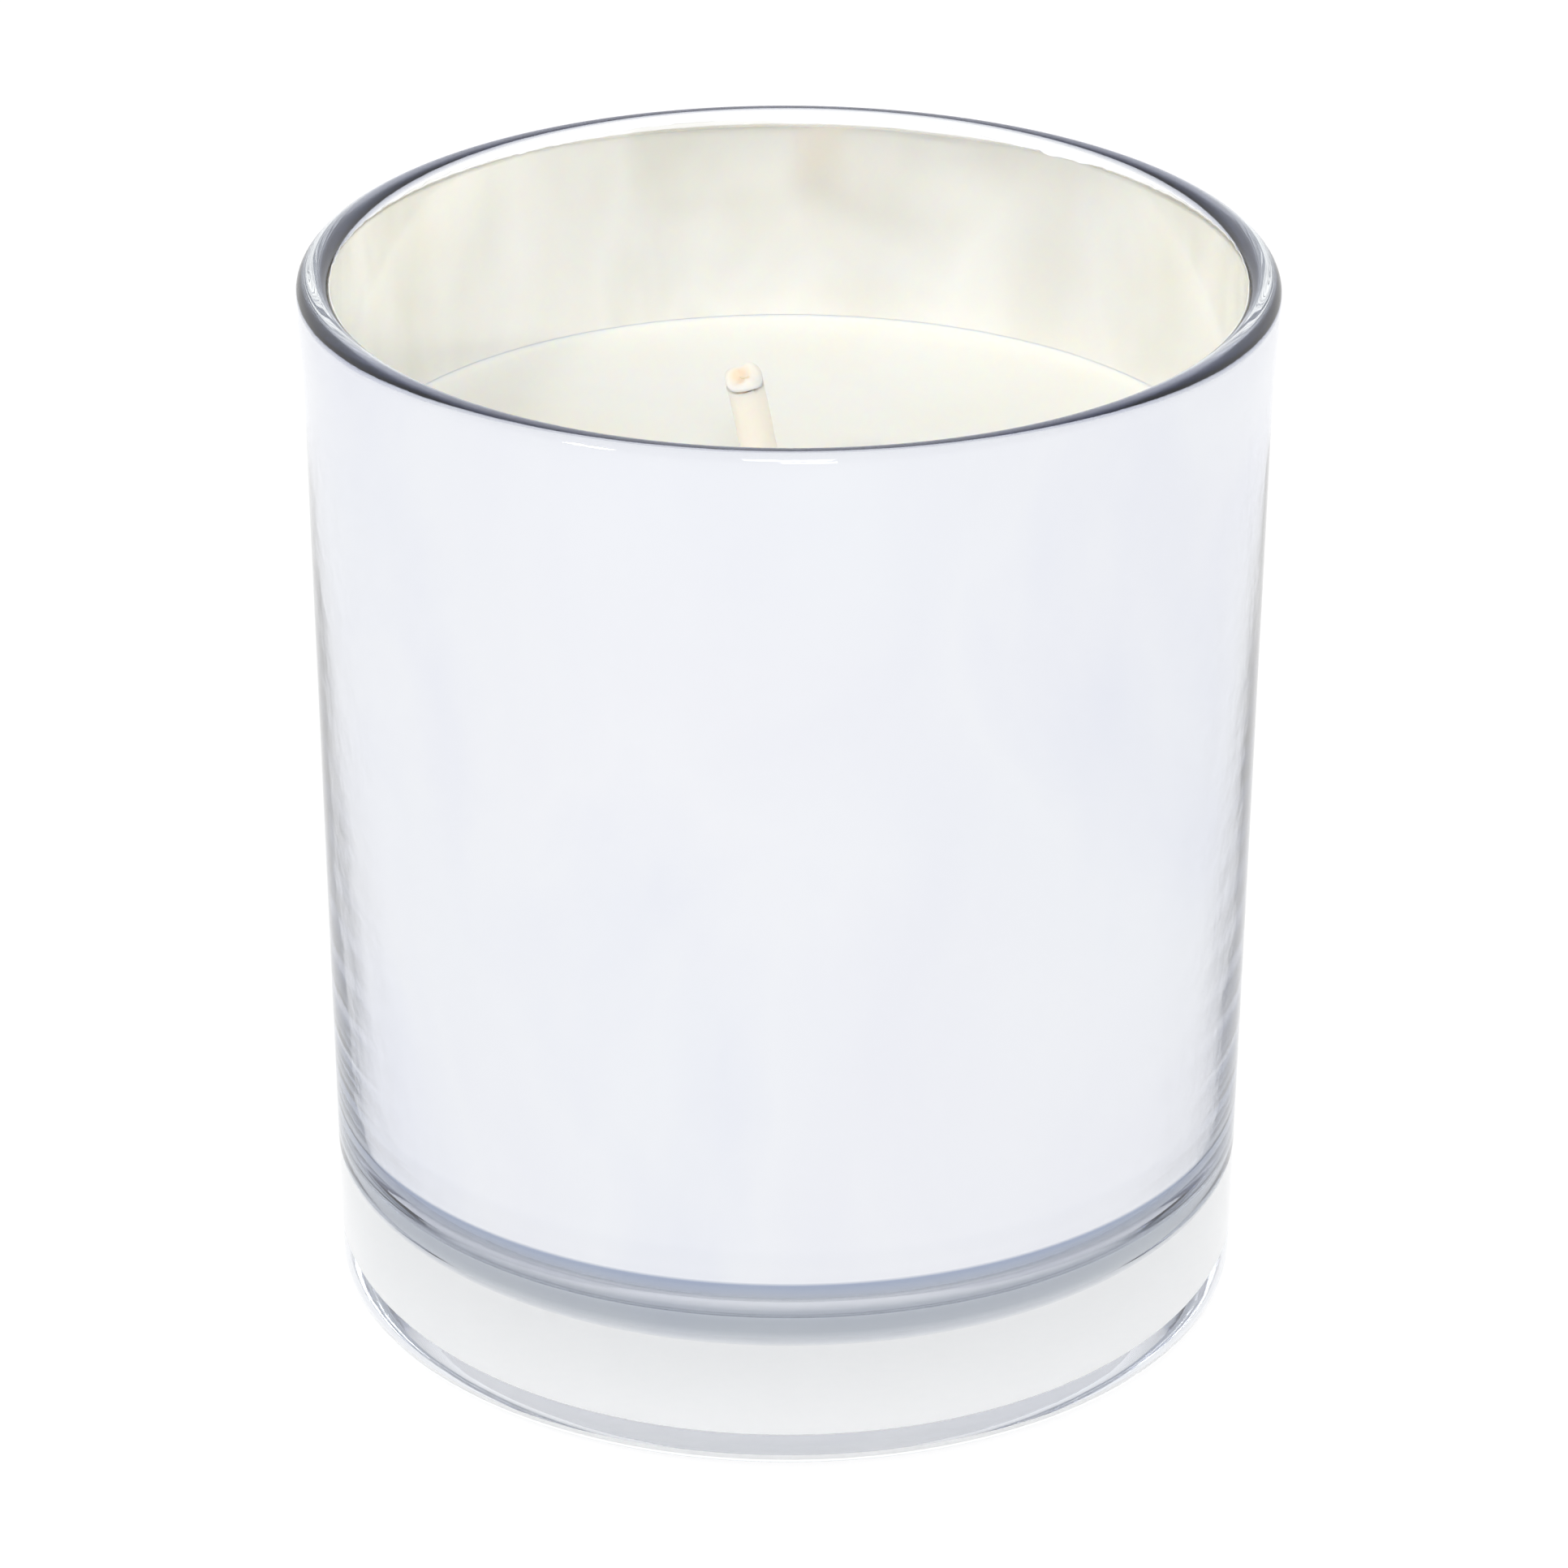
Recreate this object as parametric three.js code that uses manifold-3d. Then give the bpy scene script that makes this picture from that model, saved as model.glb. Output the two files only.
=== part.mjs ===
// Poured candle in a heavy-based glass tumbler that is silvered on the inside.
// Millimetres, +Z up, origin at the centre of the ring that the glass stands on.
import * as THREE from 'three';
import { mergeVertices } from 'three/addons/utils/BufferGeometryUtils.js';
import Module from 'manifold-3d';

// Driving dimensions
const roundSides = 48; // facets round every turned piece, so that nested walls stay parallel
const bondGap = 0.03; // between two layers that are stuck together
const cutGap = 0.3; // left round what the wax was poured about

const tumbler = {
  height: 91.2,
  baseRadius: 38.17, // outside, where the heel meets the wall
  waistRadius: 39.75, // outside, at the top of the straight taper
  waistZ: 82,
  beadRadius: 40.2, // outside, at the fire-polished bead under the rim
  beadZ: 89,
  heel: 3, // radius of the rounded outer foot
  ringInner: 28.5, // the ring that the glass stands on starts here
  punt: 1.6, // depth of the shallow hollow under the foot
  floorZ: 8.8, // top of the solid glass base
  mouthRadius: 37.4, // inside, at the rim
  wellRadius: 34.5, // inside, where the wall would meet the floor
  wellCorner: 8, // radius between the inner wall and the floor
  wallCurve: 1.5, // above 1, the inner wall leans in more towards its foot
  wallRow: 9, // height between the rings that the curved inner wall is made of
  rimRound: 1.2, // radius of both edges of the rim
};

const lining = { thickness: 0.15, topZ: 90.5 };
const wax = { levelZ: 72.1, meniscus: 0.95, meniscusWidth: 4.2 };
const label = { radius: 26.8, thickness: 0.12 };
const sticker = { radius: 10, thickness: 1 };
const sustainer = { radius: 10, sheet: 0.35, neckHeight: 6, neckFillet: 0.7 };
const wick = {
  coreRadius: 0.45,
  braidRadius: 1.2,
  coatRadius: 1.55,
  layerGap: 0.05,
  sides: 12,
  steps: 16,
  tipZ: 82,
  leanAtWax: 1.9, // how far left of the middle it leaves the wax
  leanAtTip: 3.7,
};

const liningFloorZ = tumbler.floorZ + bondGap + lining.thickness;
const stickerZ = liningFloorZ + bondGap;
const sustainerZ = stickerZ + sticker.thickness + bondGap;
const neckBore = wick.coatRadius + 2 * wick.layerGap;
const neckRadius = neckBore + sustainer.sheet;

function finish(color, roughness, metalness) {
  return new THREE.MeshStandardMaterial({ color, roughness, metalness });
}

function arc(centreR, centreZ, radius, fromDegrees, toDegrees, steps) {
  const points = [];
  for (let i = 0; i <= steps; i++) {
    const angle = THREE.MathUtils.degToRad(THREE.MathUtils.lerp(fromDegrees, toDegrees, i / steps));
    points.push([centreR + radius * Math.cos(angle), centreZ + radius * Math.sin(angle)]);
  }
  return points;
}

// Turns a profile of [radius, z] points about the Z axis.
function turned(profile) {
  const points = profile.map(([radius, z]) => new THREE.Vector2(radius, z));
  return new THREE.LatheGeometry(points, roundSides).rotateX(Math.PI / 2);
}

function part(name, geometry, material) {
  const mesh = new THREE.Mesh(geometry, material);
  mesh.name = name;
  return mesh;
}

// Radius of the glass's inner wall at a height.
function wellRadiusAt(z) {
  const { wellRadius, mouthRadius, floorZ, height, wallCurve } = tumbler;
  const share = (z - floorZ) / (height - floorZ);
  return THREE.MathUtils.lerp(wellRadius, mouthRadius, 1 - (1 - share) ** wallCurve);
}

// The inside of the glass from the axis up to topZ, moved in by inset.
function wellProfile(inset, topZ) {
  const { wellCorner, floorZ, wallRow } = tumbler;
  const cornerZ = floorZ + wellCorner;
  const corner = arc(wellRadiusAt(cornerZ) - wellCorner, cornerZ, wellCorner - inset, -90, 0, 6);
  const rows = Math.ceil((topZ - cornerZ) / wallRow) - 1;
  const heights = Array.from({ length: rows }, (_, i) => cornerZ + wallRow * (i + 1));
  const wall = [...heights, topZ].map((z) => [wellRadiusAt(z) - inset, z]);
  return [[0, floorZ + inset], ...corner, ...wall];
}

// The shallow hollow under the foot, from the axis out to a radius, moved down by drop.
function puntProfile(outerRadius, drop) {
  const { punt, ringInner } = tumbler;
  const radii = Array.from({ length: 9 }, (_, i) => (outerRadius * i) / 8);
  return radii.map((radius) => [radius, punt * (1 - (radius / ringInner) ** 2) - drop]);
}

function glassTumbler() {
  const { height, baseRadius, waistRadius, waistZ, beadRadius, beadZ, heel } = tumbler;
  const { ringInner, mouthRadius, rimRound } = tumbler;
  const foot = arc(baseRadius - heel, heel, heel, -90, 0, 5);
  const beadRise = [0.25, 0.5, 0.75].map((t) => [
    THREE.MathUtils.lerp(waistRadius, beadRadius, THREE.MathUtils.smoothstep(t, 0, 1)),
    THREE.MathUtils.lerp(waistZ, beadZ, t),
  ]);
  const rimCentreZ = height - rimRound;
  const outerEdge = arc(beadRadius - rimRound, rimCentreZ, rimRound, 0, 90, 4);
  const innerEdge = arc(mouthRadius + rimRound, rimCentreZ, rimRound, 90, 180, 4);
  const well = wellProfile(0, rimCentreZ).slice(0, -1).reverse();
  const wall = [[waistRadius, waistZ], ...beadRise, [beadRadius, beadZ]];
  const profile = [...puntProfile(ringInner, 0), ...foot, ...wall, ...outerEdge, ...innerEdge, ...well];
  return part('glass_tumbler', turned(profile), finish('#e6eaee', 0.03, 0));
}

function silverLining() {
  const outside = wellProfile(bondGap, lining.topZ);
  const inside = wellProfile(bondGap + lining.thickness, lining.topZ).reverse();
  return part('silver_lining', turned([...outside, ...inside]), finish('#dfe2ea', 0.12, 1));
}

// A blank paper disc stuck up in the hollow, clear of the table.
function baseLabel() {
  const under = puntProfile(label.radius, bondGap + label.thickness);
  const stuck = puntProfile(label.radius, bondGap).reverse();
  return part('base_label', turned([...under, ...stuck]), finish('#f5f5f2', 0.8, 0));
}

// Wraps a geometry's triangles as a solid that can be cut.
function toSolid(wasm, geometry) {
  const bare = geometry.clone();
  bare.deleteAttribute('normal');
  bare.deleteAttribute('uv');
  const welded = mergeVertices(bare, 1e-4);
  const corners = Array.from(welded.index.array);
  const solidCorners = [];
  for (let i = 0; i < corners.length; i += 3) {
    const [a, b, c] = corners.slice(i, i + 3);
    if (a !== b && b !== c && c !== a) solidCorners.push(a, b, c);
  }
  const vertProperties = new Float32Array(welded.attributes.position.array);
  return new wasm.Manifold(new wasm.Mesh({ numProp: 3, vertProperties, triVerts: new Uint32Array(solidCorners) }));
}

function toGeometry(solid) {
  const { vertProperties, triVerts } = solid.getMesh();
  const geometry = new THREE.BufferGeometry();
  geometry.setAttribute('position', new THREE.BufferAttribute(new Float32Array(vertProperties), 3));
  geometry.setIndex(new THREE.BufferAttribute(new Uint32Array(triVerts), 1));
  geometry.computeVertexNormals();
  return geometry;
}

// The wick's middle line: upright in the neck, then easing to the left until it leans out of the wax.
function wickLine(startZ, endZ) {
  const neckTop = sustainerZ + sustainer.neckHeight;
  const middleZ = (neckTop + wax.levelZ) / 2;
  const bendZ = wax.levelZ + 4;
  const points = [
    [0, startZ],
    [0, neckTop],
    [-wick.leanAtWax * 0.4, middleZ],
    [-wick.leanAtWax, wax.levelZ],
    [-(wick.leanAtWax * 0.62 + wick.leanAtTip * 0.38), bendZ],
    [-wick.leanAtTip, endZ],
  ];
  return new THREE.CatmullRomCurve3(points.map(([x, z]) => new THREE.Vector3(x, 0, z)));
}

// A round section swept up the wick's line, with a bore where innerRadius is given.
function sweptWick(radius, innerRadius, startZ, endZ) {
  const section = new THREE.Shape().absarc(0, 0, radius, 0, 2 * Math.PI);
  if (innerRadius) section.holes.push(new THREE.Path().absarc(0, 0, innerRadius, 0, 2 * Math.PI, true));
  return new THREE.ExtrudeGeometry(section, {
    extrudePath: wickLine(startZ, endZ),
    steps: wick.steps,
    curveSegments: wick.sides / 2,
  });
}

function wickLayers() {
  const { coreRadius, braidRadius, coatRadius, layerGap, tipZ } = wick;
  return [
    part('wick_core', sweptWick(coreRadius, 0, sustainerZ, tipZ), finish('#e3c9a0', 0.9, 0)),
    part('wick_braid', sweptWick(braidRadius, coreRadius + layerGap, sustainerZ, tipZ), finish('#f3e7d3', 0.9, 0)),
    part('wick_wax_coat', sweptWick(coatRadius, braidRadius + layerGap, sustainerZ, tipZ), finish('#f4ecdf', 0.45, 0)),
  ];
}

// A stamped disc with a drawn neck that grips the wick.
function wickSustainer() {
  const { radius, sheet, neckHeight, neckFillet } = sustainer;
  const base = sustainerZ;
  const fillet = arc(neckRadius + neckFillet, base + sheet + neckFillet, neckFillet, 270, 180, 3);
  const profile = [
    [neckBore, base],
    [radius, base],
    [radius, base + sheet],
    ...fillet,
    [neckRadius, base + neckHeight],
    [neckBore, base + neckHeight],
  ];
  return part('wick_sustainer', turned([...profile, profile[0]]), finish('#c9ccd0', 0.35, 1));
}

function wickSticker() {
  const { radius, thickness } = sticker;
  const top = stickerZ + thickness;
  const profile = [[0, stickerZ], [radius, stickerZ], [radius, top], [0, top]];
  return part('wick_sticker', turned(profile), finish('#f1f0ec', 0.8, 0));
}

// What the wax was poured about: the sticker, the sustainer and the wick, each a little oversize.
function pouredAbout(wasm) {
  const below = liningFloorZ - 1;
  const discTop = sustainerZ + sustainer.sheet + cutGap;
  const discRadius = sustainer.radius + cutGap;
  const neckTop = sustainerZ + sustainer.neckHeight + cutGap;
  const outerNeck = neckRadius + cutGap;
  const fillet = sustainer.neckFillet;
  const socket = turned([
    [0, below],
    [discRadius, below],
    [discRadius, discTop],
    [outerNeck + fillet, discTop],
    [outerNeck, discTop + fillet],
    [outerNeck, neckTop],
    [0, neckTop],
  ]);
  const tunnel = sweptWick(wick.coatRadius + cutGap, 0, sustainerZ, wick.tipZ);
  return toSolid(wasm, socket).add(toSolid(wasm, tunnel));
}

async function waxFill() {
  const wasm = await Module();
  wasm.setup();
  const { levelZ, meniscus, meniscusWidth } = wax;
  const inset = 2 * bondGap + lining.thickness;
  const well = wellProfile(inset, levelZ + meniscus);
  const wallRadius = well.at(-1)[0];
  const climb = [0.3, 0.6, 1].map((t) => [wallRadius - meniscusWidth * t, levelZ + meniscus * (1 - t) ** 2]);
  const poured = toSolid(wasm, turned([...well, ...climb, [0, levelZ]]));
  return part('wax_fill', toGeometry(poured.subtract(pouredAbout(wasm))), finish('#f0eee2', 0.5, 0));
}

const group = new THREE.Group();
group.add(glassTumbler(), baseLabel(), silverLining(), await waxFill());
group.add(...wickLayers(), wickSustainer(), wickSticker());

export default group;
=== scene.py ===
import math

import bmesh
import bpy
from mathutils import Matrix, Vector, noise


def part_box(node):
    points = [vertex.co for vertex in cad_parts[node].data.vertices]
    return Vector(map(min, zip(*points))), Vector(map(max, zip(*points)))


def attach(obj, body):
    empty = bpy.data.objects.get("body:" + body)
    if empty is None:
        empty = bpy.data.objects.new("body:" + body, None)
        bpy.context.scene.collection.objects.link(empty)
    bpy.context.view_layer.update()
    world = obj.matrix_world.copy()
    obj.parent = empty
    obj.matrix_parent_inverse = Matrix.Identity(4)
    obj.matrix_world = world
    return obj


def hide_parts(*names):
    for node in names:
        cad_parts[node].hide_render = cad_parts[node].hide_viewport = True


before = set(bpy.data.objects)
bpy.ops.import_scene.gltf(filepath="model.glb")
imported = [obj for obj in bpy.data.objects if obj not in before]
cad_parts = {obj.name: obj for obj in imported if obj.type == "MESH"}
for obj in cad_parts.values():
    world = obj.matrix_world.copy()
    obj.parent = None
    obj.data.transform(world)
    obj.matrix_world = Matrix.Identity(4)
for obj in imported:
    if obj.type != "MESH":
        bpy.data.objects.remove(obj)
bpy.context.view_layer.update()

scene = bpy.context.scene
noise.seed_set(1)          # otherwise noise_vector starts from the clock

# places that the frame gives, in metres
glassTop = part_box("glass_tumbler")[1].z
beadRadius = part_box("glass_tumbler")[1].x
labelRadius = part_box("base_label")[1].x
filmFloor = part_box("silver_lining")[0].z
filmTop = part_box("silver_lining")[1].z
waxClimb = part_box("wax_fill")[1].z
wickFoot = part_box("wick_wax_coat")[0].z
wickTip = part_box("wick_wax_coat")[1].z
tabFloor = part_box("wick_sustainer")[0].z
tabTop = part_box("wick_sustainer")[1].z
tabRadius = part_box("wick_sustainer")[1].x
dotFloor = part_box("wick_sticker")[0].z
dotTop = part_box("wick_sticker")[1].z
print("frame loaded, glass height", round(glassTop, 4))


# each corner is radius, z, rounding and segments
def outlineBmesh(corners, longest):
    bm = bmesh.new()
    verts = [bm.verts.new((c[0], 0, c[1])) for c in corners]
    for a, b in zip(verts, verts[1:]):
        bm.edges.new((a, b))
    for vert, corner in zip(verts, corners):
        if corner[2]:
            bmesh.ops.bevel(bm, geom=[vert], offset=corner[2], offset_type="OFFSET", segments=corner[3],
                            profile=0.5, affect="VERTICES", material=-1)
    for edge in [e for e in bm.edges if e.calc_length() > longest]:
        bmesh.ops.subdivide_edges(bm, edges=[edge], cuts=int(edge.calc_length() / longest))
    return bm


def spinRound(bm, steps):
    bmesh.ops.spin(bm, geom=bm.verts[:] + bm.edges[:], cent=(0, 0, 0), axis=(0, 0, 1), dvec=(0, 0, 0),
                   angle=2 * math.pi, steps=steps, use_merge=True, use_normal_flip=False, use_duplicate=False)
    bmesh.ops.remove_doubles(bm, verts=bm.verts[:], dist=1e-7)
    bmesh.ops.recalc_face_normals(bm, faces=bm.faces[:])


def addPiece(name, bm, node, materials, sharpFrom=50):
    mesh = bpy.data.meshes.new(name)
    bm.to_mesh(mesh)
    bm.free()
    mesh.shade_smooth()
    mesh.set_sharp_from_angle(angle=math.radians(sharpFrom))
    piece = bpy.data.objects.new(name, mesh)
    scene.collection.objects.link(piece)
    for material in materials:
        mesh.materials.append(material)
    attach(piece, "root")
    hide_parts(node)
    print(name, len(mesh.polygons), "faces")


def newMaterial(name):
    material = bpy.data.materials.new(name)
    material.use_nodes = True
    tree = material.node_tree
    return material, tree, tree.nodes["Principled BSDF"]


def setSockets(shader, values):
    for socket, value in values.items():
        shader.inputs[socket].default_value = value


# noise on the piece's own coordinates, scale in features per metre
def pattern(tree, scale, detail=3, stretch=(1, 1, 1), distortion=0):
    coords = tree.nodes.new("ShaderNodeTexCoord")
    mapping = tree.nodes.new("ShaderNodeMapping")
    mapping.inputs["Scale"].default_value = stretch
    cloud = tree.nodes.new("ShaderNodeTexNoise")
    setSockets(cloud, {"Scale": scale, "Detail": detail, "Distortion": distortion})
    tree.links.new(coords.outputs["Object"], mapping.inputs["Vector"])
    tree.links.new(mapping.outputs["Vector"], cloud.inputs["Vector"])
    return cloud.outputs["Fac"]


# each stop is a position and a colour
def ramp(tree, source, stops):
    node = tree.nodes.new("ShaderNodeValToRGB")
    elements = node.color_ramp.elements
    while len(elements) < len(stops):
        elements.new(0.5)
    for element, (position, colour) in zip(elements, stops):
        element.position = position
        element.color = (*colour, 1)
    tree.links.new(source, node.inputs["Fac"])
    return node.outputs["Color"]


# stretches a range of values to another one
def spread(tree, source, low, high, fromLow=0.3, fromHigh=0.7):
    node = tree.nodes.new("ShaderNodeMapRange")
    setSockets(node, {"From Min": fromLow, "From Max": fromHigh, "To Min": low, "To Max": high})
    tree.links.new(source, node.inputs["Value"])
    return node.outputs["Result"]


# where a point lies between two heights, from 0 to 1
def heightShare(tree, low, high):
    coords = tree.nodes.new("ShaderNodeTexCoord")
    split = tree.nodes.new("ShaderNodeSeparateXYZ")
    tree.links.new(coords.outputs["Object"], split.inputs["Vector"])
    return spread(tree, split.outputs["Z"], 0, 1, low, high)


def multiplied(tree, first, second):
    node = tree.nodes.new("ShaderNodeMix")
    node.data_type = "RGBA"
    node.blend_type = "MULTIPLY"
    node.inputs["Factor"].default_value = 1
    tree.links.new(first, node.inputs[6])
    tree.links.new(second, node.inputs[7])
    return node.outputs[2]


def bump(tree, shader, source, distance, strength):
    node = tree.nodes.new("ShaderNodeBump")
    setSockets(node, {"Strength": strength, "Distance": distance})
    tree.links.new(source, node.inputs["Height"])
    tree.links.new(node.outputs["Normal"], shader.inputs["Normal"])


tumbler = {
    "steps": 256,
    "longest": 0.003,
    "footRadius": 0.0381,      # outside, where the wall would meet the table
    "heelRound": 0.003,
    "waistRadius": 0.03975,
    "waistZ": 0.082,
    "beadZ": 0.0885,
    "rimRound": 0.0012,
    "mouthRadius": 0.03743,
    "wellRadius": 0.0345,      # inside, where the wall would meet the floor
    "wellRound": 0.008,
    "wallCurve": 1.5,          # above 1, the inner wall leans in more towards its foot
    "wallRows": 14,
    "wallFrom": 1.3,           # its rows start this many corner radii over the floor
    "bond": 0.00003,           # the frame's gap between the glass and the film
    "punt": 0.0016,            # depth of the shallow hollow under the foot
    "puntRows": 12,
    "standRadius": 0.0285,     # where the hollow ends
    "ripple": 0.00004,         # how far the pressed inner wall wanders
    "rippleScale": 45,
    "ringDepth": 0.000004,     # fine rings pressed into the corner over the floor
    "ringPitch": 0.0011,
}

glassFloor = filmFloor - tumbler["bond"]


def wallRadius(z):
    share = min(max((z - glassFloor) / (glassTop - glassFloor), 0), 1)
    opened = 1 - (1 - share) ** tumbler["wallCurve"]
    return tumbler["wellRadius"] + opened * (tumbler["mouthRadius"] - tumbler["wellRadius"])


# the hollow under the foot from the axis out to a radius, moved up by lift
def puntRise(outer, lift):
    radii = [outer * i / tumbler["puntRows"] for i in range(tumbler["puntRows"] + 1)]
    return [(r, tumbler["punt"] * (1 - (r / tumbler["standRadius"]) ** 2) + lift, 0, 0) for r in radii]


# the inner wall from a height down to its corner, set outwards or inwards by offset
def wallDown(top, offset):
    low = glassFloor + tumbler["wallFrom"] * tumbler["wellRound"]
    heights = [top + (low - top) * i / tumbler["wallRows"] for i in range(tumbler["wallRows"] + 1)]
    return [(wallRadius(z) + offset, z, 0, 0) for z in heights]


# how far outwards the pressed inner wall stands from its true shape at a point
def rippleAt(point):
    scaled = Vector((point.x, point.y, point.z * 0.35)) * tumbler["rippleScale"]
    wander = tumbler["ripple"] * (noise.noise(scaled) + 0.3 * noise.noise(scaled * 4.3))
    low = min(max((glassFloor + tumbler["wellRound"] - point.z) / tumbler["wellRound"], 0), 1)
    phase = 2 * math.pi * point.z / tumbler["ringPitch"] + 2.5 * noise.noise(scaled * 0.7)
    return wander + tumbler["ringDepth"] * min(low * 4, 1) * math.sin(phase)


def rippleWell(verts):
    for vert in verts:
        flat = Vector((vert.co.x, vert.co.y, 0))
        if flat.length > 0.01:
            vert.co += flat.normalized() * rippleAt(vert.co)


def glassMaterial():
    material, tree, shader = newMaterial("clearGlass")
    setSockets(shader, {"Transmission Weight": 1, "IOR": 1.5, "Roughness": 0})
    tint = ramp(tree, pattern(tree, 30), [(0.3, (0.985, 0.995, 1.0)), (0.7, (1, 1, 1))])
    tree.links.new(tint, shader.inputs["Base Color"])
    smears = pattern(tree, 90, detail=5, stretch=(1, 1, 0.4), distortion=0.6)
    tree.links.new(spread(tree, smears, 0, 0.02, 0.5, 0.75), shader.inputs["Roughness"])
    bump(tree, shader, pattern(tree, 60, detail=2, stretch=(1, 1, 0.5)), 0.00004, 0.6)
    absorb = tree.nodes.new("ShaderNodeVolumeAbsorption")
    setSockets(absorb, {"Color": (0.82, 0.93, 0.97, 1), "Density": 1.5})
    tree.links.new(absorb.outputs["Volume"], tree.nodes["Material Output"].inputs["Volume"])
    return material


def makeTumbler():
    t = tumbler
    bm = outlineBmesh([
        *puntRise(t["standRadius"], 0),
        (t["footRadius"], 0, t["heelRound"], 8),
        (t["waistRadius"], t["waistZ"], 0.003, 4),
        (beadRadius, t["beadZ"], 0.0015, 4),
        (beadRadius, glassTop, t["rimRound"], 8),
        (t["mouthRadius"], glassTop, t["rimRound"], 8),
        *wallDown(glassTop - 0.006, 0),
        (t["wellRadius"], glassFloor, t["wellRound"], 32),
        (0, glassFloor, 0, 0),
    ], t["longest"])
    spinRound(bm, t["steps"])
    above = [v for v in bm.verts if v.co.z > glassFloor - 1e-6]
    rippleWell([v for v in above if v.co.xy.length < wallRadius(v.co.z) + 2e-5])
    addPiece("tumblerGlass", bm, "glass_tumbler", [glassMaterial()])


label = {
    "steps": 128,
    "longest": 0.003,
    "sunk": 0.00001,           # its glue wets the glass, so no air lies between them
    "thickness": 0.00012,
}


# white paper that lets through more light than the real thing, so that the base stays pale
def labelMaterial():
    material, tree, shader = newMaterial("labelPaper")
    setSockets(shader, {"Specular IOR Level": 0.3, "Subsurface Weight": 1, "Subsurface Scale": 0.003})
    shader.inputs["Subsurface Radius"].default_value = (1, 1, 1)
    fibres = pattern(tree, 900, detail=5)
    tint = ramp(tree, fibres, [(0.3, (0.945, 0.96, 0.98)), (0.7, (0.96, 0.97, 0.985))])
    tree.links.new(tint, shader.inputs["Base Color"])
    tree.links.new(spread(tree, fibres, 0.7, 0.9), shader.inputs["Roughness"])
    bump(tree, shader, fibres, 0.00001, 0.4)
    return material


# a blank disc stuck up in the hollow of the foot
def makeLabel():
    under = puntRise(labelRadius, -label["thickness"])
    stuck = puntRise(labelRadius, label["sunk"])
    bm = outlineBmesh([*under, *reversed(stuck)], label["longest"])
    spinRound(bm, label["steps"])
    addPiece("baseLabel", bm, "base_label", [labelMaterial()])


film = {
    "steps": 384,
    "longest": 0.003,
    "sunk": 0.00001,           # its back is this far inside the glass, so no air lies between them
    "thickness": 0.00006,
    "edgeRows": 6,
    "edgeDepth": 0.0028,       # the ragged edge pulls on this much of the wall
    "raggedWide": 0.00025,
    "raggedFine": 0.00016,
    "thinSpots": [(52, 11, 0.0003), (128, 14, 0.0002)],     # degrees round from +X, width, depth
    "cornerPaintedShade": [         # painted shade in the corner over the floor, a dark ring with a lighter line across it and its darkest band at the top: share of its height, tint
        (0.0, (1, 1, 1)),
        (0.06, (0.8, 0.82, 0.84)),
        (0.3, (0.56, 0.59, 0.62)),
        (0.55, (0.55, 0.58, 0.62)),
        (0.64, (0.95, 0.96, 0.97)),
        (0.7, (0.52, 0.55, 0.6)),
        (0.82, (0.42, 0.48, 0.6)),
        (0.85, (1, 1, 1)),
    ],
}


# seen from outside, through the glass, with painted shade that darkens the tint in a ring round the foot of
# the wall
def filmBackMaterial():
    material, tree, shader = newMaterial("filmBack")
    setSockets(shader, {"Metallic": 1})
    clouds = pattern(tree, 38, detail=4, stretch=(1, 1, 0.6), distortion=0.5)
    lavender, silver, grey = (0.745, 0.757, 0.815), (0.788, 0.797, 0.832), (0.768, 0.776, 0.822)
    tint = ramp(tree, clouds, [(0.32, lavender), (0.5, silver), (0.68, grey)])
    rise = heightShare(tree, glassFloor, glassFloor + 1.2 * tumbler["wellRound"])
    # painted shade: the tint darkens in a ring over the floor of the well
    paintedShade = ramp(tree, rise, film["cornerPaintedShade"])
    tree.links.new(multiplied(tree, tint, paintedShade), shader.inputs["Base Color"])
    tree.links.new(spread(tree, clouds, 0.02, 0.06), shader.inputs["Roughness"])
    bump(tree, shader, pattern(tree, 250, detail=3), 0.00002, 0.5)
    return material


# seen from inside the mouth
def filmFaceMaterial():
    material, tree, shader = newMaterial("filmFace")
    setSockets(shader, {"Metallic": 1})
    clouds = pattern(tree, 45, detail=4, stretch=(1, 1, 0.5), distortion=0.4)
    olive, silver, cream = (0.88, 0.875, 0.845), (0.972, 0.968, 0.965), (0.925, 0.915, 0.89)
    tint = ramp(tree, clouds, [(0.38, olive), (0.52, silver), (0.66, cream)])
    tree.links.new(tint, shader.inputs["Base Color"])
    tree.links.new(spread(tree, clouds, 0.1, 0.19), shader.inputs["Roughness"])
    bump(tree, shader, pattern(tree, 180, detail=3, stretch=(1, 1, 0.3)), 0.00002, 0.5)
    return material


# the sprayed edge wanders, thins out at two places, and follows the rim's rounding
def raggedEdge(verts):
    start = glassTop - tumbler["rimRound"]
    for vert in verts:
        below = filmTop - vert.co.z
        if below > film["edgeDepth"]:
            continue
        around = Vector((vert.co.x, vert.co.y, 0)).normalized()
        wide = noise.noise(around * 2.6 + Vector((0, 0, 3.1)))
        fine = noise.noise(around * 26) + 0.6 * noise.noise(around * 70)
        turn = math.degrees(math.atan2(around.y, around.x))
        thin = 0
        for place, width, depth in film["thinSpots"]:
            thin += depth * math.exp(-((turn - place) / width) ** 2)
        pull = (1 - below / film["edgeDepth"]) ** 2
        vert.co.z += pull * (film["raggedWide"] * wide + film["raggedFine"] * fine - thin)
        vert.co.z = min(vert.co.z, start + tumbler["rimRound"] * 0.8)
        over = max(vert.co.z - start, 0)
        vert.co += around * (tumbler["rimRound"] - math.sqrt(tumbler["rimRound"] ** 2 - over ** 2))


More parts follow.
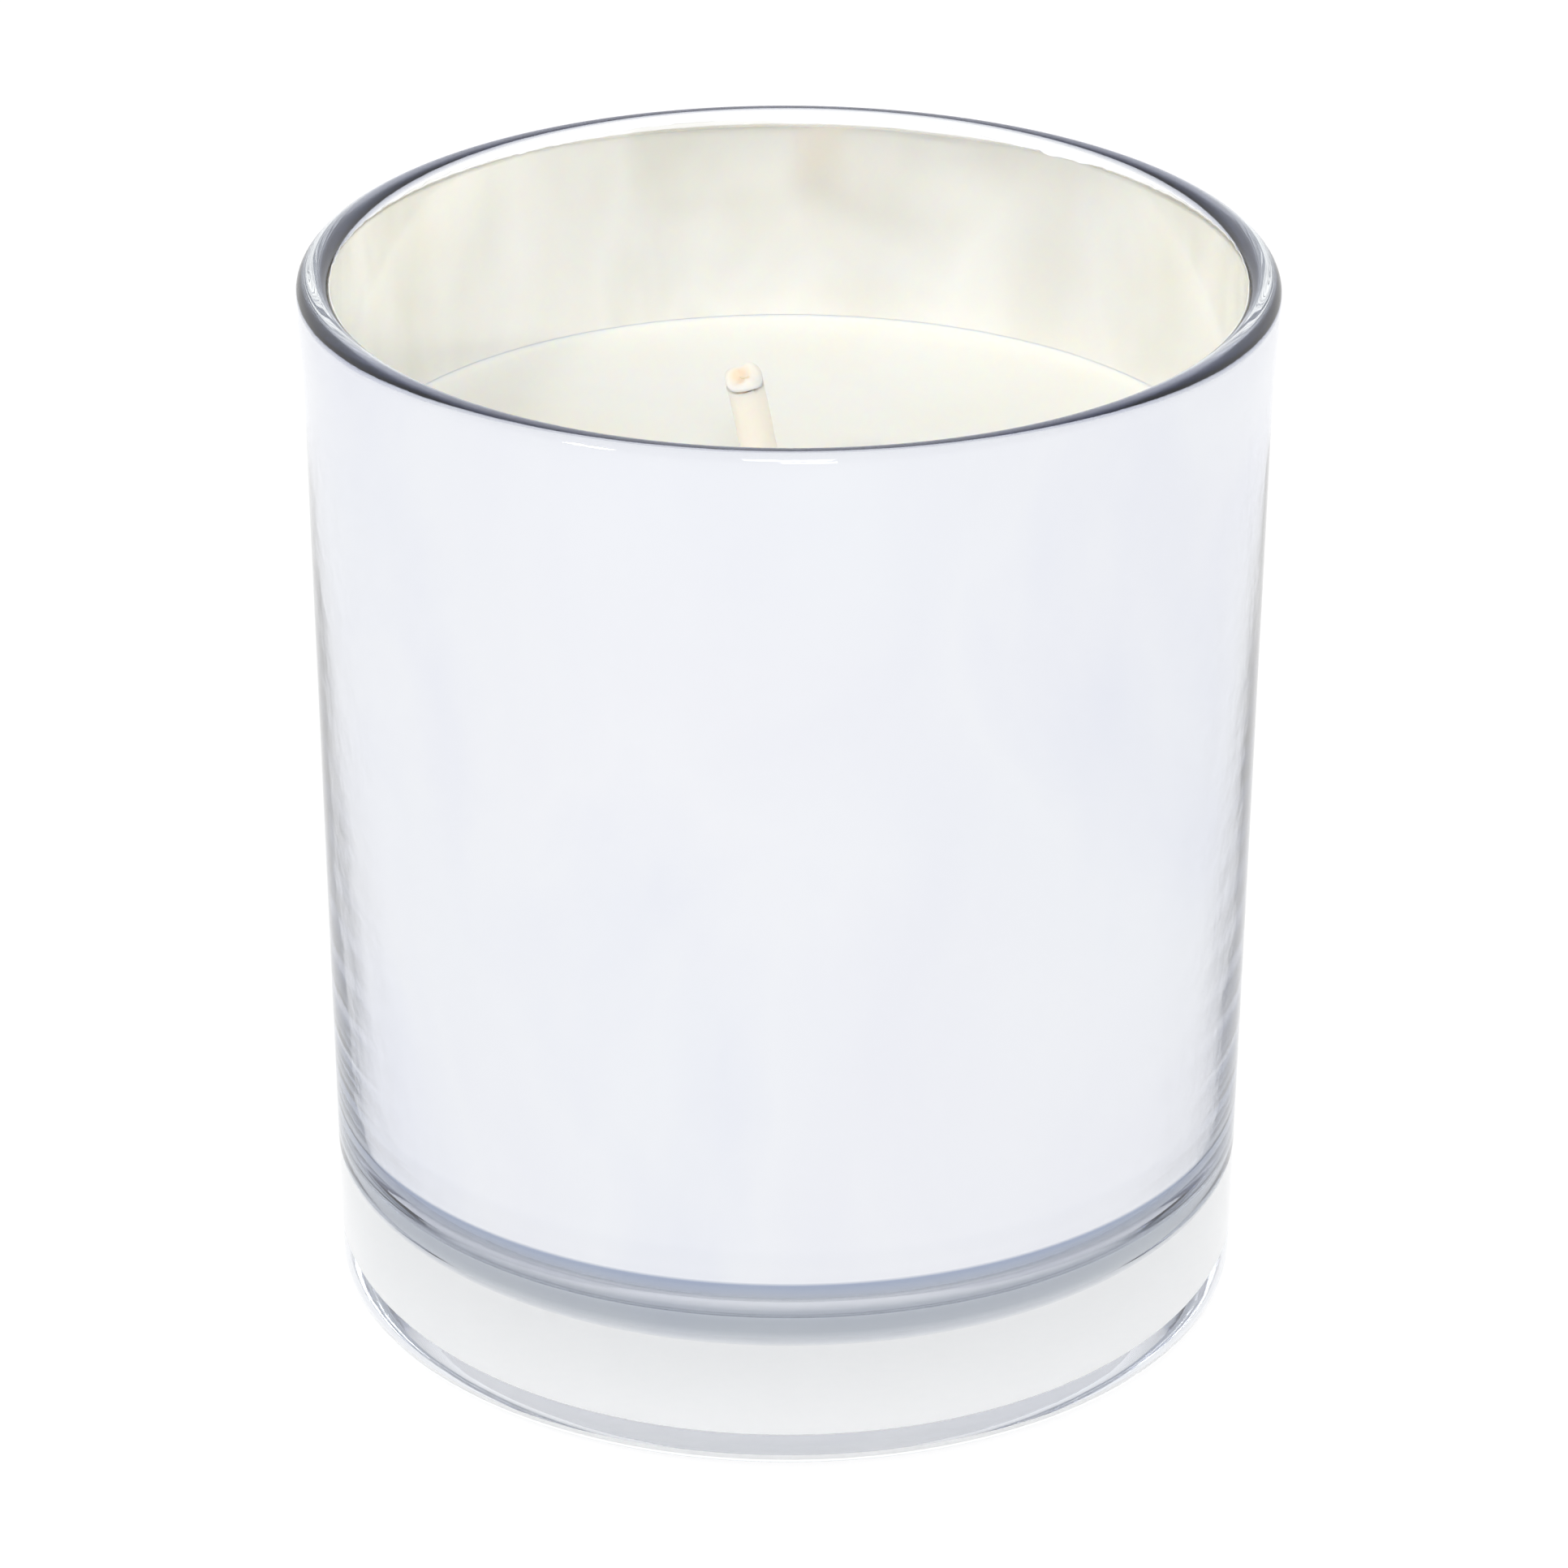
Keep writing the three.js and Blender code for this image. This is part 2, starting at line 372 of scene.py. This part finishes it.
def makeFilm():
    back, face = film["sunk"], film["sunk"] - film["thickness"]
    rows = [film["edgeDepth"] * (i / film["edgeRows"]) ** 2 for i in range(film["edgeRows"] + 1)]
    backEdge = [(wallRadius(filmTop - d) + back, filmTop - d, 0, 0) for d in reversed(rows)]
    faceEdge = [(wallRadius(filmTop - d) + face, filmTop - d, 0, 0) for d in rows]
    under = filmTop - film["edgeDepth"] - 0.002
    bm = outlineBmesh([
        (0, glassFloor - back, 0, 0),
        (tumbler["wellRadius"] + back, glassFloor - back, tumbler["wellRound"], 32),
        *reversed(wallDown(under, back)),
        *backEdge,
        *faceEdge,
        *wallDown(under, face),
        (tumbler["wellRadius"] + face, glassFloor - face, tumbler["wellRound"] - film["thickness"], 32),
        (0, glassFloor - face, 0, 0),
    ], film["longest"])
    spinRound(bm, film["steps"])
    rippleWell(bm.verts)
    raggedEdge(bm.verts)
    for poly in bm.faces:
        middle = poly.calc_center_median()
        outward = poly.normal.dot(Vector((middle.x, middle.y, 0)).normalized()) - poly.normal.z
        poly.material_index = 0 if outward > 0 else 1
    materials = [filmBackMaterial(), filmFaceMaterial()]
    addPiece("silverFilm", bm, "silver_lining", materials)


wick = {
    "leanAtWax": 0.0019,
    "leanAtTip": 0.0037,
    "bendAbove": 0.004,        # height over the wax where the bend is strongest
    "coreRadius": 0.00045,
    "strandRadius": 0.00034,
    "strands": 8,
    "plaitPitch": 0.0055,
    "strandDuck": 0.00012,     # how far a strand dips under the ones that it crosses
    "braidRadius": 0.00088,
    "coatRadius": 0.00152,
    "coatSides": 28,
    "tipFlare": 0.00003,
    "flareLength": 0.0035,
    "lipSize": 0.7,            # the tip rounds over to this share of its width, then to a second ring
    "lipRise": 0.0003,
    "innerSize": 0.45,
    "innerRise": 0.0001,
    "roughLength": 0.0022,     # the cut is uneven over this much of the tip
    "slant": 0.0004,
    "notch": 0.00016,
    "coatWander": 0.00005,
    "braidStop": 0.0012,       # the braid and the core end this far under the tip
    "coreStop": 0.00045,
    "coreShows": (-0.0004, -0.0002, -0.0003),       # from the tip's middle, where the core tints the coat
}


def catmull(a, b, c, d, t):
    square = 2 * a - 5 * b + 4 * c - d
    cube = 3 * b - a - 3 * c + d
    return 0.5 * (2 * b + (c - a) * t + square * t * t + cube * t ** 3)


# the wick's middle at a height: upright in the tab's neck, then easing left
def wickAt(z):
    waxLevel = waxClimb - wax["climb"]
    heights = [wickFoot, tabTop, (tabTop + waxLevel) / 2, waxLevel, waxLevel + wick["bendAbove"], wickTip]
    bend = 0.62 * wick["leanAtWax"] + 0.38 * wick["leanAtTip"]
    leans = [0, 0, 0.4 * wick["leanAtWax"], wick["leanAtWax"], bend, wick["leanAtTip"]]
    for i in range(len(heights) - 1):
        if z <= heights[i + 1] or i == len(heights) - 2:
            t = (z - heights[i]) / (heights[i + 1] - heights[i])
            before = leans[max(i - 1, 0)]
            after = leans[min(i + 2, len(leans) - 1)]
            return Vector((-catmull(before, leans[i], leans[i + 1], after, t), 0, z))


def wickTilt(z):
    step = 0.0004
    return (wickAt(min(z + step, wickTip)) - wickAt(max(z - step, wickFoot))).to_track_quat("Z", "Y")


wax = {
    "steps": 384,
    "longest": 0.0012,
    "gap": 0.000016,           # to the film
    "climb": 0.00095,          # how far it climbs the wall
    "edgeDrop": 0.0003,        # the wall meets the wax this far under the top of its climb
    "dip": 0.0001,             # the middle sinks as it sets
    "wander": 0.00004,
    "wickClimb": 0.0005,
    "wickClimbWidth": 0.0011,
}


def waxMaterial():
    material, tree, shader = newMaterial("creamWax")
    setSockets(shader, {"Subsurface Weight": 1, "Subsurface Scale": 0.0003, "IOR": 1.44})
    shader.inputs["Subsurface Radius"].default_value = (1.0, 0.8, 0.5)
    clouds = pattern(tree, 70, detail=4, distortion=0.3)
    tint = ramp(tree, clouds, [(0.3, (0.95, 0.902, 0.815)), (0.7, (0.965, 0.932, 0.865))])
    tree.links.new(tint, shader.inputs["Base Color"])
    tree.links.new(spread(tree, pattern(tree, 220, detail=4), 0.38, 0.55), shader.inputs["Roughness"])
    bump(tree, shader, pattern(tree, 500, detail=4), 0.00003, 0.35)
    return material


def makeWax():
    level = waxClimb - wax["climb"]
    inset = film["thickness"] - film["sunk"] + wax["gap"]
    edge = wallRadius(waxClimb) - inset
    floorZ = glassFloor + inset
    bm = outlineBmesh([
        (0, floorZ, 0, 0),
        (tumbler["wellRadius"] - inset, floorZ, tumbler["wellRound"] - inset, 12),
        *reversed(wallDown(waxClimb - 0.002, -inset)),
        (edge, waxClimb - wax["edgeDrop"], 0, 0),
        (edge - 0.0006, level + 0.0003, 0.0004, 4),
        (edge - 0.002, level + 0.00006, 0.0008, 4),
        (edge - 0.005, level, 0.001, 3),
        (0, level - wax["dip"], 0, 0),
    ], wax["longest"])
    spinRound(bm, wax["steps"])
    rippleWell(bm.verts)
    foot = wickAt(level)
    for vert in bm.verts:
        if vert.co.z > level - 0.0005 and vert.co.xy.length < edge - 0.004:
            away = max((vert.co.xy - foot.xy).length - wick["coatRadius"], 0)
            vert.co.z += wax["wickClimb"] * math.exp(-away / wax["wickClimbWidth"])
            vert.co.z += wax["wander"] * noise.noise(vert.co * 60)
    addPiece("creamWax", bm, "wax_fill", [waxMaterial()])


def coatMaterial():
    material, tree, shader = newMaterial("primerWax")
    setSockets(shader, {"Subsurface Weight": 0.8, "Subsurface Scale": 0.0012, "IOR": 1.44})
    shader.inputs["Subsurface Radius"].default_value = (1.0, 0.75, 0.5)
    height = heightShare(tree, wickTip - 0.0045, wickTip - 0.0002)
    tint = ramp(tree, height, [(0, (0.98, 0.9, 0.815)), (0.55, (0.97, 0.9, 0.82)), (1, (0.93, 0.865, 0.79))])
    coords = tree.nodes.new("ShaderNodeTexCoord")
    away = tree.nodes.new("ShaderNodeVectorMath")
    away.operation = "DISTANCE"
    away.inputs[1].default_value = wickAt(wickTip) + Vector(wick["coreShows"])
    tree.links.new(coords.outputs["Object"], away.inputs[0])
    near = spread(tree, away.outputs["Value"], 0, 1, 0.0004, 0.0011)
    core = ramp(tree, near, [(0, (0.97, 0.87, 0.74)), (1, (1, 1, 1))])
    tree.links.new(multiplied(tree, tint, core), shader.inputs["Base Color"])
    tree.links.new(spread(tree, pattern(tree, 900, detail=3), 0.35, 0.6), shader.inputs["Roughness"])
    bump(tree, shader, pattern(tree, 700, detail=3, stretch=(1, 1, 0.6)), 0.00006, 0.5)
    return material


def cottonMaterial(name, dark, light):
    material, tree, shader = newMaterial(name)
    setSockets(shader, {"Subsurface Weight": 0.3, "Subsurface Scale": 0.0005, "Sheen Weight": 0.3})
    fibres = pattern(tree, 2500, detail=4, stretch=(1, 1, 0.25))
    tree.links.new(ramp(tree, fibres, [(0.3, dark), (0.7, light)]), shader.inputs["Base Color"])
    tree.links.new(spread(tree, fibres, 0.7, 0.95), shader.inputs["Roughness"])
    bump(tree, shader, fibres, 0.00004, 0.7)
    return material


# a ring of edges carried up through the heights, where place(z) gives its matrix and its size
def ringUp(bm, sides, radius, heights, place):
    ring = bmesh.ops.create_circle(bm, cap_ends=False, segments=sides, radius=radius)["verts"]
    matrix, size = place(heights[0])
    bmesh.ops.transform(bm, matrix=matrix @ Matrix.Scale(size, 4), verts=ring)
    edges = [e for e in bm.edges if all(v in ring for v in e.verts)]
    first = edges
    for before, z in zip(heights, heights[1:]):
        previous, previousSize = place(before)
        matrix, size = place(z)
        made = bmesh.ops.extrude_edge_only(bm, edges=edges)["geom"]
        verts = [g for g in made if isinstance(g, bmesh.types.BMVert)]
        edges = [g for g in made if isinstance(g, bmesh.types.BMEdge)]
        edges = [e for e in edges if all(v in verts for v in e.verts)]
        change = matrix @ Matrix.Scale(size / previousSize, 4) @ previous.inverted()
        bmesh.ops.transform(bm, matrix=change, verts=verts)
    return first, edges


def wickHeights(step, top):
    count = max(int((top - wickFoot) / step), 2)
    return [wickFoot + (top - wickFoot) * i / count for i in range(count + 1)]


def wickPlace(z):
    return Matrix.Translation(wickAt(z)) @ wickTilt(z).to_matrix().to_4x4(), 1


# a smaller copy of a ring of edges about the wick's tip, joined to it
def shrunkRing(bm, edges, size):
    made = bmesh.ops.extrude_edge_only(bm, edges=edges)["geom"]
    verts = [g for g in made if isinstance(g, bmesh.types.BMVert)]
    outer = [g for g in made if isinstance(g, bmesh.types.BMEdge)]
    middle = Matrix.Translation(-wickAt(wickTip))
    bmesh.ops.scale(bm, vec=(size, size, 1), space=middle, verts=verts)
    return verts, [e for e in outer if all(v in verts for v in e.verts)]


def makeCoat():
    flareFrom = wickTip - wick["flareLength"]

    def place(z):
        matrix, size = wickPlace(z)
        rise = max((z - flareFrom) / (wickTip - flareFrom), 0)
        return matrix, 1 + wick["tipFlare"] / wick["coatRadius"] * rise

    bm = bmesh.new()
    foot, top = ringUp(bm, wick["coatSides"], wick["coatRadius"], wickHeights(0.0005, wickTip), place)
    lipVerts, lipEdges = shrunkRing(bm, top, wick["lipSize"])
    bmesh.ops.translate(bm, vec=(0, 0, wick["lipRise"]), verts=lipVerts)
    innerVerts, innerEdges = shrunkRing(bm, lipEdges, wick["innerSize"])
    bmesh.ops.translate(bm, vec=(0, 0, wick["innerRise"]), verts=innerVerts)
    bmesh.ops.holes_fill(bm, edges=innerEdges, sides=0)
    bmesh.ops.holes_fill(bm, edges=foot, sides=0)
    for vert in bm.verts:
        up = max((vert.co.z - (wickTip - wick["roughLength"])) / wick["roughLength"], 0)
        about = vert.co - wickAt(min(vert.co.z, wickTip))
        turn = math.atan2(about.y, about.x)
        slant = wick["slant"] * (1 + math.cos(turn + 1.8))
        notch = wick["notch"] * (1 + math.cos(3 * turn + 0.6))
        vert.co.z -= up * slant + up * notch
        vert.co += wick["coatWander"] * noise.noise_vector(vert.co * 900)
    bmesh.ops.recalc_face_normals(bm, faces=bm.faces[:])
    addPiece("wickCoat", bm, "wick_wax_coat", [coatMaterial()], sharpFrom=180)


# half the strands turn each way, ducking over and under each other
def strandPlace(index):
    way = 1 if index % 2 == 0 else -1
    start = 2 * math.pi * (index // 2) / (wick["strands"] // 2) + (0 if way > 0 else 0.4)

    def place(z):
        turn = start + way * 2 * math.pi * (z - wickFoot) / wick["plaitPitch"]
        duck = math.cos(wick["strands"] / 2 * turn * way) * wick["strandDuck"] * way
        out = wick["braidRadius"] + duck
        local = Vector((out * math.cos(turn), out * math.sin(turn), 0))
        matrix, size = wickPlace(z)
        return Matrix.Translation(local) @ matrix, size

    return place


def makeBraid():
    bm = bmesh.new()
    for index in range(wick["strands"]):
        heights = wickHeights(0.00045, wickTip - wick["braidStop"])
        foot, top = ringUp(bm, 6, wick["strandRadius"], heights, strandPlace(index))
        bmesh.ops.holes_fill(bm, edges=foot + top, sides=0)
    bmesh.ops.recalc_face_normals(bm, faces=bm.faces[:])
    material = cottonMaterial("wickCotton", (0.9, 0.8, 0.66), (0.97, 0.91, 0.82))
    addPiece("wickBraid", bm, "wick_braid", [material])


def makeCore():
    bm = bmesh.new()
    heights = wickHeights(0.0006, wickTip - wick["coreStop"])
    foot, top = ringUp(bm, 12, wick["coreRadius"], heights, wickPlace)
    bmesh.ops.holes_fill(bm, edges=foot + top, sides=0)
    bmesh.ops.recalc_face_normals(bm, faces=bm.faces[:])
    material = cottonMaterial("wickCoreThread", (0.93, 0.72, 0.45), (0.97, 0.84, 0.62))
    addPiece("wickCore", bm, "wick_core", [material])


tab = {
    "steps": 96,
    "sheet": 0.00035,
    "neckBore": 0.00165,
    "neckRound": 0.0006,
    "crimps": 4,
    "crimpDepth": 0.0001,
    "crimpFrom": 0.0015,       # height over the disc
}


def tinplateMaterial():
    material, tree, shader = newMaterial("tinplate")
    setSockets(shader, {"Metallic": 1})
    grain = pattern(tree, 600, detail=4, stretch=(1, 0.1, 1))
    tint = ramp(tree, grain, [(0.3, (0.62, 0.63, 0.65)), (0.7, (0.78, 0.79, 0.8))])
    tree.links.new(tint, shader.inputs["Base Color"])
    tree.links.new(spread(tree, grain, 0.25, 0.42), shader.inputs["Roughness"])
    bump(tree, shader, grain, 0.00002, 0.4)
    return material


def makeTab():
    neck = tab["neckBore"] + tab["sheet"]
    bm = outlineBmesh([
        (tab["neckBore"], tabFloor, 0, 0),
        (tabRadius, tabFloor, 0.0001, 2),
        (tabRadius, tabFloor + tab["sheet"], 0.0001, 2),
        (neck, tabFloor + tab["sheet"], tab["neckRound"], 5),
        (neck, tabTop, 0.0001, 2),
        (tab["neckBore"], tabTop, 0, 0),
        (tab["neckBore"], tabFloor, 0, 0),
    ], 0.001)
    spinRound(bm, tab["steps"])
    for vert in bm.verts:
        up = (vert.co.z - tabFloor - tab["crimpFrom"]) / (tabTop - tabFloor - tab["crimpFrom"])
        high = math.sin(math.pi * min(max(up, 0), 1))
        turn = math.atan2(vert.co.y, vert.co.x)
        if tab["neckBore"] + 0.0001 < vert.co.xy.length < neck + 0.0002:
            squeeze = tab["crimpDepth"] * high * (0.5 + 0.5 * math.cos(tab["crimps"] * turn))
            vert.co -= Vector((math.cos(turn), math.sin(turn), 0)) * squeeze
    addPiece("wickTab", bm, "wick_sustainer", [tinplateMaterial()])


def foamMaterial():
    material, tree, shader = newMaterial("foamTape")
    cells = tree.nodes.new("ShaderNodeTexVoronoi")
    coords = tree.nodes.new("ShaderNodeTexCoord")
    tree.links.new(coords.outputs["Object"], cells.inputs["Vector"])
    cells.inputs["Scale"].default_value = 2500
    near = cells.outputs["Distance"]
    tint = ramp(tree, near, [(0, (0.8, 0.8, 0.78)), (0.6, (0.92, 0.92, 0.9))])
    tree.links.new(tint, shader.inputs["Base Color"])
    tree.links.new(spread(tree, near, 0.75, 0.95, 0, 0.6), shader.inputs["Roughness"])
    bump(tree, shader, near, 0.00005, 0.6)
    return material


def makeDot():
    bm = outlineBmesh([
        (0, dotFloor, 0, 0),
        (tabRadius, dotFloor, 0.00015, 3),
        (tabRadius, dotTop, 0.00015, 3),
        (0, dotTop, 0, 0),
    ], 0.0015)
    spinRound(bm, tab["steps"])
    addPiece("foamDot", bm, "wick_sticker", [foamMaterial()])


makeTumbler()
makeLabel()
makeFilm()
makeWax()
makeCoat()
makeBraid()
makeCore()
makeTab()
makeDot()


studio = {
    "floorSize": 3.0,
    "floorDrop": 0.00005,      # keeps the floor clear of the standing ring
    "floorGlow": 0.89,         # a light table
    "skyLow": 1.1,
    "skyHigh": 0.6,
    "skyFades": (0.4, 0.8),    # from one to the other between these heights on a unit sky
    "lampDistance": 0.65,
    "lampAim": 0.06,           # height that the lamps point at
    "lamps": [                 # name, degrees to the right of the camera, elevation, size, watts
        ("frontHigh", 0, 55, 0.17, 0.5),
        ("frontLow", 5, 38, 0.12, 0.45),
        ("keyLeft", -50, 40, 0.1, 0.75),
    ],
}


def makeFloor():
    bm = bmesh.new()
    bmesh.ops.create_grid(bm, x_segments=8, y_segments=8, size=studio["floorSize"] / 2)
    bmesh.ops.translate(bm, vec=(0, 0, -studio["floorDrop"]), verts=bm.verts[:])
    mesh = bpy.data.meshes.new("studioFloor")
    bm.to_mesh(mesh)
    bm.free()
    floor = bpy.data.objects.new("studioFloor", mesh)
    scene.collection.objects.link(floor)
    material, tree, shader = newMaterial("paleFloor")
    setSockets(shader, {"Roughness": 0.9, "Specular IOR Level": 0.1})
    setSockets(shader, {"Emission Color": (1, 1, 1, 1), "Emission Strength": studio["floorGlow"]})
    material.cycles.emission_sampling = "NONE"
    tint = ramp(tree, pattern(tree, 4), [(0.3, (0.2, 0.2, 0.2)), (0.7, (0.21, 0.21, 0.21))])
    tree.links.new(tint, shader.inputs["Base Color"])
    mesh.materials.append(material)


def addSoftbox(name, azimuth, elevation, size, watts):
    light = bpy.data.lights.new(name, "AREA")
    light.shape = "SQUARE"
    light.size = size
    light.energy = watts
    around, up = math.radians(azimuth), math.radians(elevation)
    way = Vector((math.cos(up) * math.sin(around), -math.cos(up) * math.cos(around), math.sin(up)))
    lamp = bpy.data.objects.new(name, light)
    lamp.location = studio["lampDistance"] * way + Vector((0, 0, studio["lampAim"]))
    lamp.rotation_euler = way.to_track_quat("Z", "Y").to_euler()
    scene.collection.objects.link(lamp)


def makeLight():
    world = bpy.data.worlds.new("studioWorld")
    world.use_nodes = True
    background = world.node_tree.nodes["Background"]
    background.inputs["Color"].default_value = (1, 1, 1, 1)
    tree = world.node_tree
    ways = tree.nodes.new("ShaderNodeTexCoord")
    split = tree.nodes.new("ShaderNodeSeparateXYZ")
    tree.links.new(ways.outputs["Generated"], split.inputs["Vector"])
    glow = spread(tree, split.outputs["Z"], studio["skyLow"], studio["skyHigh"], *studio["skyFades"])
    tree.links.new(glow, background.inputs["Strength"])
    scene.world = world
    for lamp in studio["lamps"]:
        addSoftbox(*lamp)


view = {
    "distance": 0.645,
    "elevation": 24.85,
    "aim": (-0.00028, 0, 0.0449),
    "lens": 176.1,
    "roll": 0.003,
}


def makeCamera():
    lens = bpy.data.cameras.new("productCamera")
    lens.lens = view["lens"]
    lens.sensor_width = 36
    lens.clip_start = 0.01
    up = math.radians(view["elevation"])
    camera = bpy.data.objects.new("productCamera", lens)
    camera.location = Vector(view["aim"]) + view["distance"] * Vector((0, -math.cos(up), math.sin(up)))
    level = (Vector(view["aim"]) - camera.location).to_track_quat("-Z", "Y").to_matrix()
    camera.rotation_euler = (level @ Matrix.Rotation(view["roll"], 3, "Z")).to_euler()
    scene.collection.objects.link(camera)
    scene.camera = camera


makeFloor()
makeLight()
makeCamera()
scene.view_settings.view_transform = "Standard"
scene.cycles.max_bounces = 32
scene.cycles.diffuse_bounces = 12
scene.cycles.glossy_bounces = 32
scene.cycles.transmission_bounces = 32
print("studio ready")
